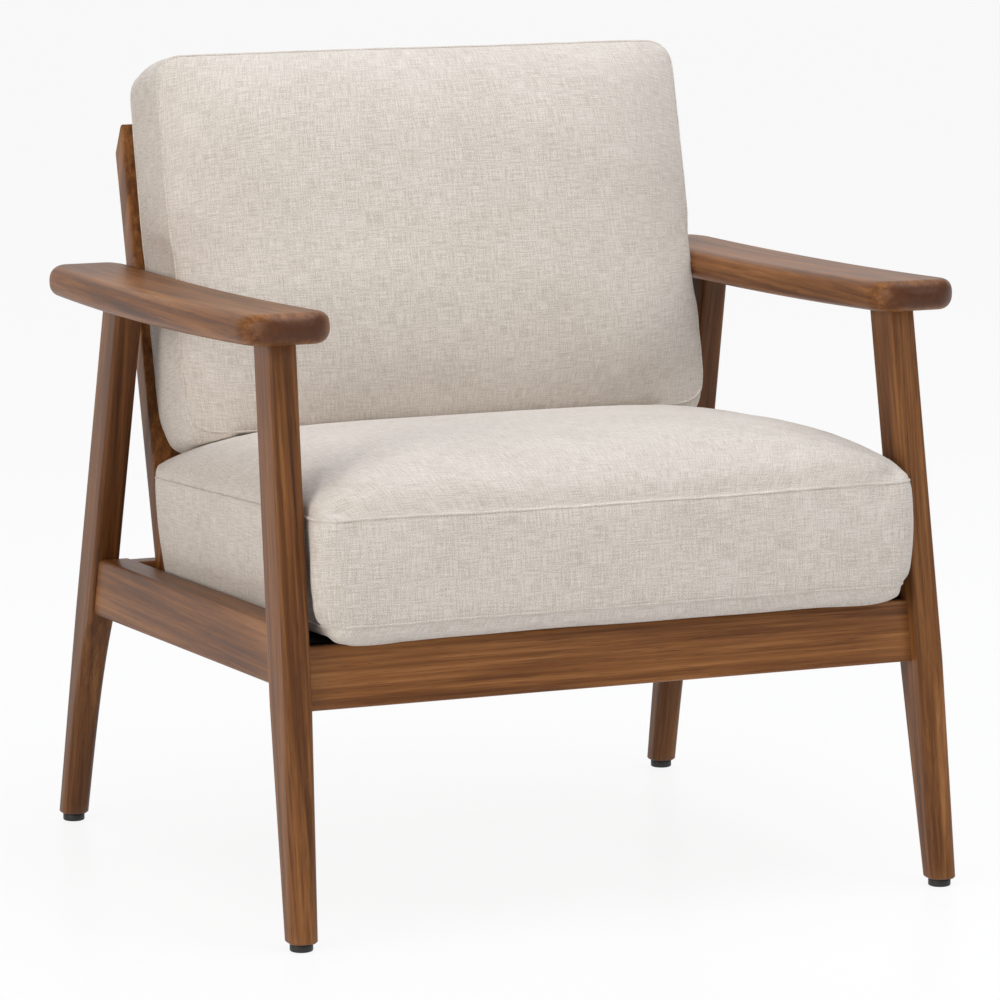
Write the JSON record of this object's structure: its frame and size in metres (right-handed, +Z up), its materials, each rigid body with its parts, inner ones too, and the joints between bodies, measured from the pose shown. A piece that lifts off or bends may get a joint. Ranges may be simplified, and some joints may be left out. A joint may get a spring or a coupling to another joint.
{
  "type": "lounge armchair",
  "caption": "Wooden show-frame lounge armchair with raked legs, paddle arms, a slatted back, a webbed seat deck and loose boxed seat and back cushions.",
  "frame": {"origin": "on the floor, in the middle of the rectangle that the chair covers", "axes": "+X to the chair's left-hand side as one sits in it, which is the right as seen from the front; the chair faces -Y; +Z up"},
  "size_m": [0.75, 0.656, 0.7925],
  "materials": {
    "walnut_frame": "satin lacquer over walnut stain",
    "plain_wood": "plain planed",
    "webbing": "woven elastic strap",
    "deck_cloth": "thin dust cloth",
    "glide": "matt moulded",
    "steel": "zinc plated",
    "brass": "antique",
    "linen": "slubby plain weave",
    "foam": "open-cell foam",
    "zip_tape": "woven tape"
  },
  "bodies": {
    "frame": {"front_leg_left": "walnut_frame", "front_leg_right": "walnut_frame", "rear_leg_left": "walnut_frame", "rear_leg_right": "walnut_frame", "arm_left": "walnut_frame", "arm_right": "walnut_frame", "side_rail_left": "walnut_frame", "side_rail_right": "walnut_frame", "front_rail": "walnut_frame", "rear_rail": "walnut_frame", "back_stile_left": "walnut_frame", "back_stile_right": "walnut_frame", "crest_rail": "walnut_frame", "back_slat_1": "walnut_frame", "back_slat_2": "walnut_frame", "back_slat_3": "walnut_frame", "back_slat_4": "walnut_frame", "corner_block_left": "plain_wood", "corner_block_right": "plain_wood", "side_cleat_left": "plain_wood", "side_cleat_right": "plain_wood", "front_cleat": "plain_wood", "rear_cleat": "plain_wood", "deck_batten_left": "plain_wood", "deck_batten_right": "plain_wood", "deck_batten_front": "plain_wood", "deck_batten_rear": "plain_wood", "rail_dowels": "plain_wood", "arm_dowels": "plain_wood", "webbing_lengthways": "webbing", "webbing_crossways": "webbing", "deck_cloth": "deck_cloth", "glide_front_left": "glide", "glide_front_right": "glide", "glide_rear_left": "glide", "glide_rear_right": "glide", "glide_screws": "steel", "arm_screws": "steel", "back_bolts": "steel", "back_washers": "steel", "cleat_screws": "steel", "block_screws": "steel", "insert_nuts": "brass"},
    "seat_cushion": {"seat_cover": "linen", "seat_foam": "foam", "seat_zip": "zip_tape"},
    "seat_zip_slider": {"seat_zip_slider": "brass"},
    "back_cushion": {"back_cover": "linen", "back_foam": "foam", "back_zip": "zip_tape"},
    "back_zip_slider": {"back_zip_slider": "brass"}
  },
  "joints": [
    {"name": "seat_cushion_out", "type": "slide", "parent": "frame", "child": "seat_cushion", "axis": [0, -0.9988, 0.0489], "range_m": [0, 0.6]},
    {"name": "back_cushion_up", "type": "slide", "parent": "frame", "child": "back_cushion", "axis": [0, 0.2504, 0.9681], "range_m": [0, 0.35]},
    {"name": "seat_zip_pull", "type": "slide", "parent": "seat_cushion", "child": "seat_zip_slider", "axis": [1, 0, 0], "range_m": [0, 0.4]},
    {"name": "back_zip_pull", "type": "slide", "parent": "back_cushion", "child": "back_zip_slider", "axis": [1, 0, 0], "range_m": [0, 0.4]}
  ]
}
